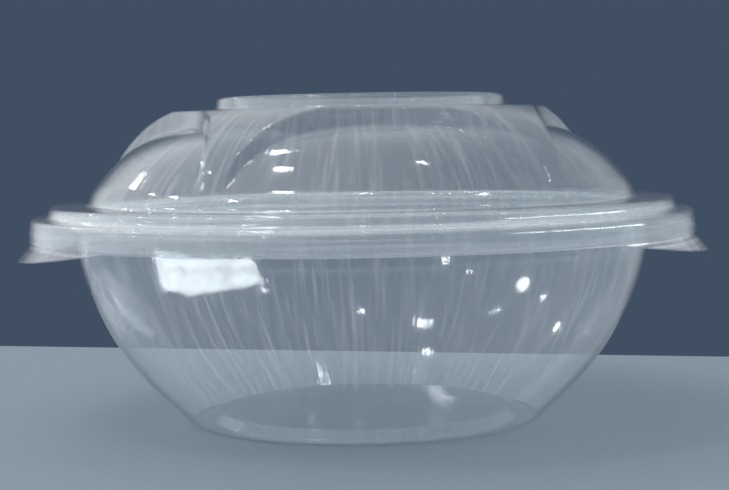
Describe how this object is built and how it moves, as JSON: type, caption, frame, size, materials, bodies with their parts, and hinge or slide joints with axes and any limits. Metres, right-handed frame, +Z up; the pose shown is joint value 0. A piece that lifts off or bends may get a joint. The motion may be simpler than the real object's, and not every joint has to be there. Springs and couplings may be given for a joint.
{
  "type": "salad container",
  "caption": "Clear round bowl with two lifting lips and a low flat-topped domed lid with arched windows and a stacking ring.",
  "frame": {"origin": "middle of the bowl's foot, on the surface it stands on", "axes": "+Z up through the lid's stacking ring, +X through the bowl's two lifting lips, the front is -Y"},
  "size_m": [0.1908, 0.184, 0.0898],
  "materials": {
    "clear_bowl_sheet": "glossy clear",
    "clear_lid_sheet": "glossy clear"
  },
  "bodies": {
    "bowl": {"bowl": "clear_bowl_sheet"},
    "lid": {"lid": "clear_lid_sheet"}
  },
  "joints": [
    {"name": "lid_lift", "type": "slide", "parent": "bowl", "child": "lid", "axis": [0, 0, 1], "range_m": [0, 0.06]}
  ]
}
